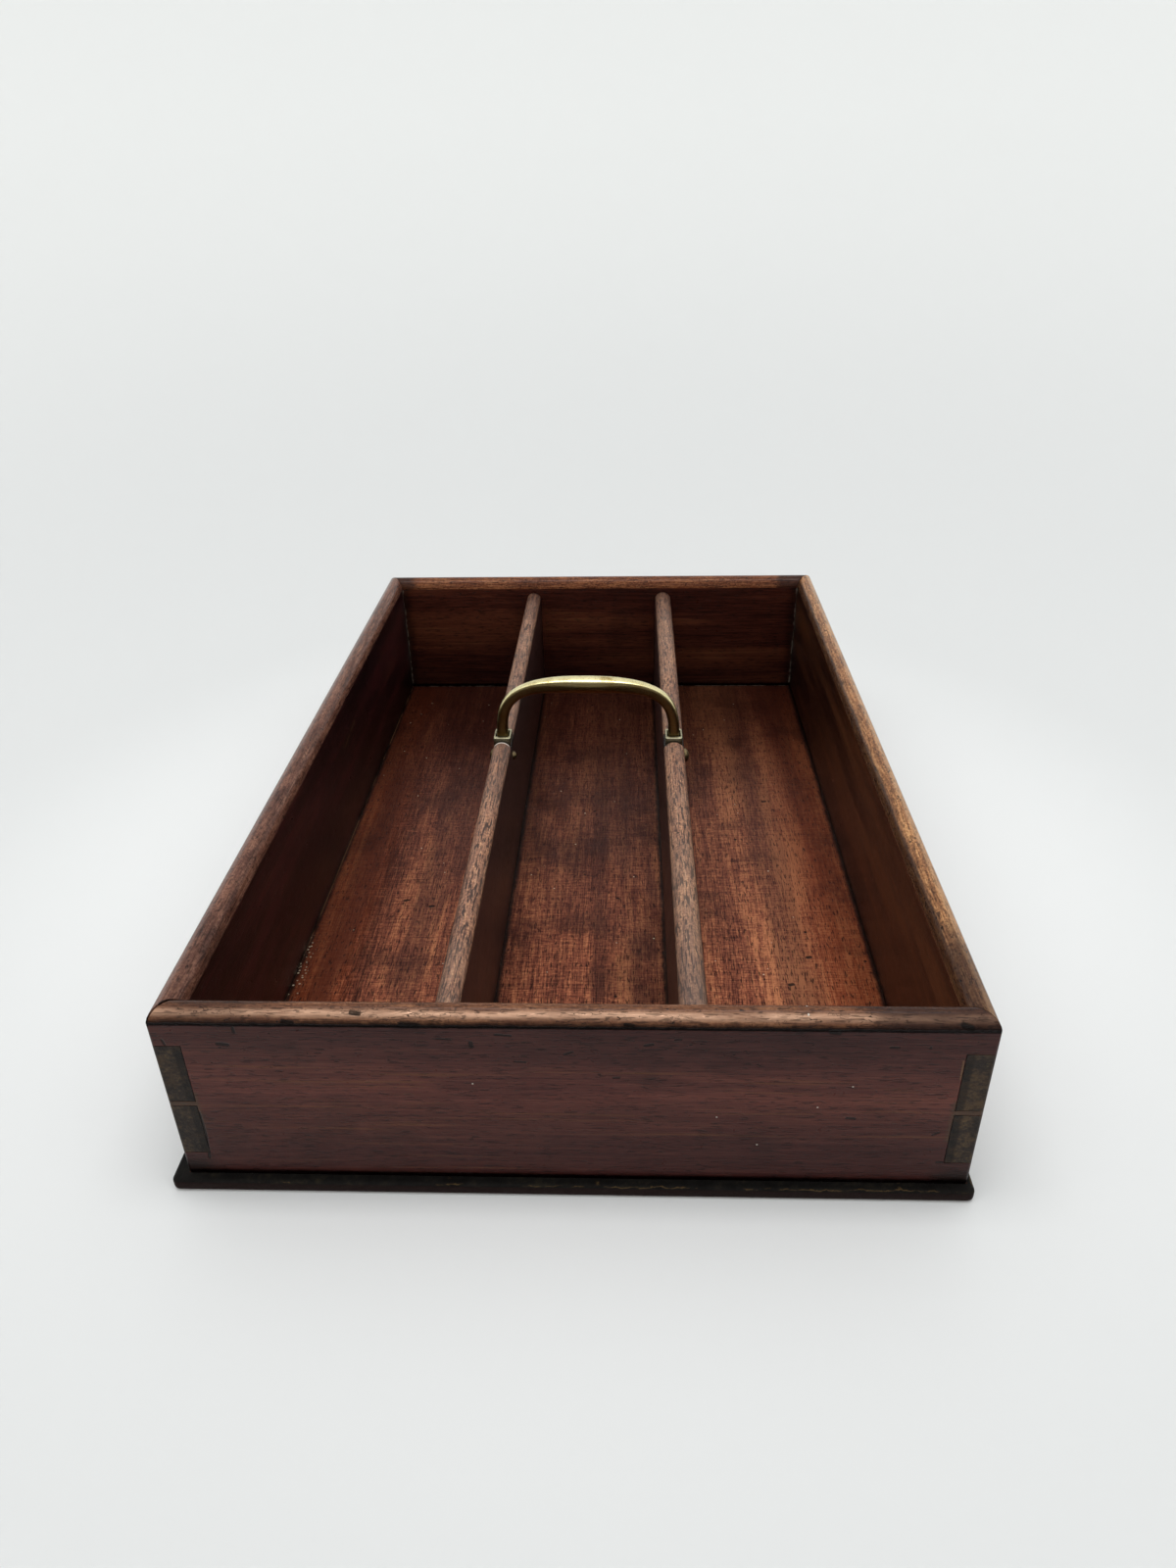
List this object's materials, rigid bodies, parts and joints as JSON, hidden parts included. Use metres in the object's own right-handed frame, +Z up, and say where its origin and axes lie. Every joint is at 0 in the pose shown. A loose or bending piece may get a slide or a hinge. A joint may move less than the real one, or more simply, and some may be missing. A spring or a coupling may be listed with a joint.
{
  "type": "cutlery box",
  "caption": "Open rectangular wooden box with dovetailed corners, a rounded rim, lengthwise round-topped dividers and a fixed brass bail handle, for keeping and carrying table cutlery.",
  "frame": {"origin": "middle of the underside of the base board", "axes": "+X to the right along the front wall, +Y from the front wall to the back wall, +Z up out of the box"},
  "size_m": [0.262, 0.3936, 0.0954],
  "materials": {
    "wall_mahogany": "old dark mahogany, french polished and worn, paler on the rim",
    "base_mahogany": "warm red-brown mahogany, thinly polished, worn black and ochre at the edge",
    "divider_mahogany": "dark mahogany, matte, rubbed pale along the rounded top",
    "handle_brass": "old cast brass, polished by use",
    "collar_brass": "dull green-grey patinated brass with bright edges",
    "nail_iron": "rust-brown cut iron"
  },
  "bodies": {
    "root": {"base_board": "base_mahogany", "front_board": "wall_mahogany", "back_board": "wall_mahogany", "left_side_board": "wall_mahogany", "right_side_board": "wall_mahogany", "left_divider": "divider_mahogany", "right_divider": "divider_mahogany", "carrying_handle": "handle_brass", "left_handle_collar": "collar_brass", "right_handle_collar": "collar_brass", "left_handle_rivet": "handle_brass", "right_handle_rivet": "handle_brass", "base_nail_1": "nail_iron", "base_nail_2": "nail_iron", "base_nail_3": "nail_iron", "base_nail_4": "nail_iron", "base_nail_5": "nail_iron", "base_nail_6": "nail_iron", "base_nail_7": "nail_iron", "base_nail_8": "nail_iron", "base_nail_9": "nail_iron", "base_nail_10": "nail_iron", "base_nail_11": "nail_iron", "base_nail_12": "nail_iron", "base_nail_13": "nail_iron", "base_nail_14": "nail_iron", "base_nail_15": "nail_iron", "base_nail_16": "nail_iron", "base_nail_17": "nail_iron", "base_nail_18": "nail_iron"}
  },
  "joints": []
}
